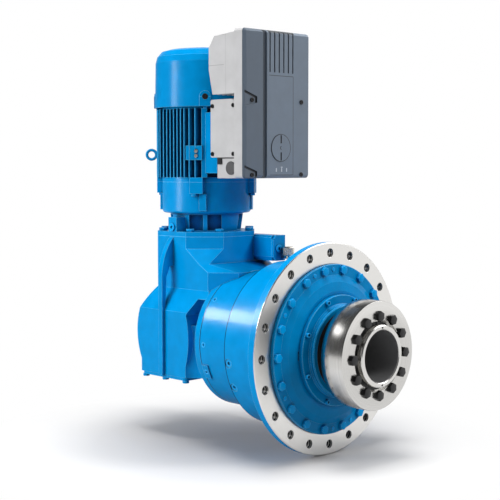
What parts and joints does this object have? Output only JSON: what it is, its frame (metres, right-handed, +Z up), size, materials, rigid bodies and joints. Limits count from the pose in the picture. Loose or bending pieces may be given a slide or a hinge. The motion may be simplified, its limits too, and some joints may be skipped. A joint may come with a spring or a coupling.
{
  "type": "planetary gear reducer",
  "caption": "Flange-mounted planetary gear reducer with a hollow output shaft and shrink disc, a bevel input stage, an upright fan-cooled motor and a drive on its side.",
  "frame": {"origin": "centre of the mounting flange's front face, on the output axis", "axes": "+X along the output axis, out of the hollow shaft; +Z up, along the motor; +Y to the side of the breather"},
  "size_m": [0.6017, 0.421, 0.8424],
  "materials": {
    "blue_paint": "gloss enamel",
    "blue_cast": "gloss enamel over cast iron",
    "turned_steel": "turned",
    "gear_steel": "ground",
    "bright_zinc": "zinc plated",
    "black_steel": "black oxide",
    "light_aluminium": "cast",
    "dark_cover": "matt moulded",
    "copper_wire": "varnished copper",
    "black_rubber": "matt",
    "green_board": "matt"
  },
  "bodies": {
    "housing": {"output_housing": "blue_cast", "output_cover": "blue_cast", "seal_cover": "blue_cast", "shaft_seals": "black_rubber", "first_stage_housing": "blue_cast", "bevel_housing": "blue_cast", "bottom_cover": "blue_paint", "breather_end_plate": "blue_paint", "breather": "bright_zinc", "motor_adapter": "blue_cast", "second_ring_gear": "gear_steel", "first_ring_gear": "gear_steel", "bearing_outer_rings": "gear_steel", "cover_bolts": "blue_paint", "screw_plugs": "blue_paint", "seal_cover_screws": "blue_paint", "housing_bolts": "black_steel", "case_bolts": "blue_paint", "motor_end_shield": "blue_cast", "fan_end_shield": "blue_cast", "motor_frame": "blue_cast", "wound_stator": "copper_wire", "fan_cover": "blue_paint", "lifting_eye": "bright_zinc", "terminal_box": "light_aluminium", "terminal_box_covers": "light_aluminium", "cable_entry_plugs": "dark_cover", "drive_heatsink": "light_aluminium", "drive_base": "light_aluminium", "drive_cover": "dark_cover", "enclosure_screws": "bright_zinc", "control_board": "green_board"},
    "output_shaft": {"output_shaft": "turned_steel", "second_planet_pins": "gear_steel", "shrink_disc_inner_ring": "turned_steel", "shrink_disc_outer_ring": "turned_steel", "shrink_disc_bolts": "black_steel", "output_bearing_inner_rings": "gear_steel"},
    "output_rollers": {"output_bearing_rollers": "gear_steel"},
    "second_planet_a": {"second_planet_a": "gear_steel"},
    "second_planet_b": {"second_planet_b": "gear_steel"},
    "second_planet_c": {"second_planet_c": "gear_steel"},
    "first_carrier": {"first_carrier": "gear_steel", "first_planet_pins": "gear_steel", "second_sun_gear": "gear_steel", "carrier_bearing_inner_ring": "gear_steel"},
    "first_planet_a": {"first_planet_a": "gear_steel"},
    "first_planet_b": {"first_planet_b": "gear_steel"},
    "first_planet_c": {"first_planet_c": "gear_steel"},
    "input_shaft": {"input_sun_shaft": "gear_steel", "bevel_wheel": "gear_steel", "input_bearing_inner_rings": "gear_steel"},
    "motor_shaft": {"pinion_shaft": "gear_steel", "upright_bearing_inner_rings": "gear_steel", "coupling_hubs": "gear_steel", "coupling_spider": "black_rubber", "motor_shaft": "gear_steel", "rotor_core": "gear_steel", "fan": "black_rubber"},
    "drive_cap": {"drive_cap": "dark_cover"}
  },
  "joints": [
    {"name": "output_spin", "type": "hinge", "parent": "housing", "child": "output_shaft", "pos_m": [0, 0, 0], "axis": [1, 0, 0], "continuous": true},
    {"name": "output_rollers_spin", "type": "hinge", "parent": "housing", "child": "output_rollers", "pos_m": [0, 0, 0], "axis": [1, 0, 0], "continuous": true},
    {"name": "second_planet_a_spin", "type": "hinge", "parent": "output_shaft", "child": "second_planet_a", "pos_m": [-0.069, 0, 0.081], "axis": [1, 0, 0], "continuous": true},
    {"name": "second_planet_b_spin", "type": "hinge", "parent": "output_shaft", "child": "second_planet_b", "pos_m": [-0.069, -0.07015, -0.0405], "axis": [1, 0, 0], "continuous": true},
    {"name": "second_planet_c_spin", "type": "hinge", "parent": "output_shaft", "child": "second_planet_c", "pos_m": [-0.069, 0.07015, -0.0405], "axis": [1, 0, 0], "continuous": true},
    {"name": "first_carrier_spin", "type": "hinge", "parent": "housing", "child": "first_carrier", "pos_m": [-0.186, 0, 0], "axis": [1, 0, 0], "continuous": true},
    {"name": "first_planet_a_spin", "type": "hinge", "parent": "first_carrier", "child": "first_planet_a", "pos_m": [-0.186, 0, 0.072], "axis": [1, 0, 0], "continuous": true},
    {"name": "first_planet_b_spin", "type": "hinge", "parent": "first_carrier", "child": "first_planet_b", "pos_m": [-0.186, -0.06235, -0.036], "axis": [1, 0, 0], "continuous": true},
    {"name": "first_planet_c_spin", "type": "hinge", "parent": "first_carrier", "child": "first_planet_c", "pos_m": [-0.186, 0.06235, -0.036], "axis": [1, 0, 0], "continuous": true},
    {"name": "input_shaft_spin", "type": "hinge", "parent": "housing", "child": "input_shaft", "pos_m": [-0.3, 0, 0], "axis": [1, 0, 0], "continuous": true},
    {"name": "motor_shaft_spin", "type": "hinge", "parent": "housing", "child": "motor_shaft", "pos_m": [-0.358, 0, 0.3], "axis": [0, 0, 1], "continuous": true},
    {"name": "drive_cap_turn", "type": "hinge", "parent": "housing", "child": "drive_cap", "pos_m": [-0.143, 0.008, 0.3965], "axis": [1, 0, 0], "range_deg": [0, 90]}
  ],
  "couplings": [
    {"joint": "output_rollers_spin", "follows": "output_spin", "ratio": 0.4635},
    {"joint": "second_planet_a_spin", "follows": "output_spin", "ratio": -2.7143},
    {"joint": "second_planet_b_spin", "follows": "output_spin", "ratio": -2.7143},
    {"joint": "second_planet_c_spin", "follows": "output_spin", "ratio": -2.7143},
    {"joint": "first_carrier_spin", "follows": "output_spin", "ratio": 4.8},
    {"joint": "first_planet_a_spin", "follows": "output_spin", "ratio": -13.029},
    {"joint": "first_planet_b_spin", "follows": "output_spin", "ratio": -13.029},
    {"joint": "first_planet_c_spin", "follows": "output_spin", "ratio": -13.029},
    {"joint": "input_shaft_spin", "follows": "output_spin", "ratio": 23.04},
    {"joint": "motor_shaft_spin", "follows": "output_spin", "ratio": -46.08}
  ]
}
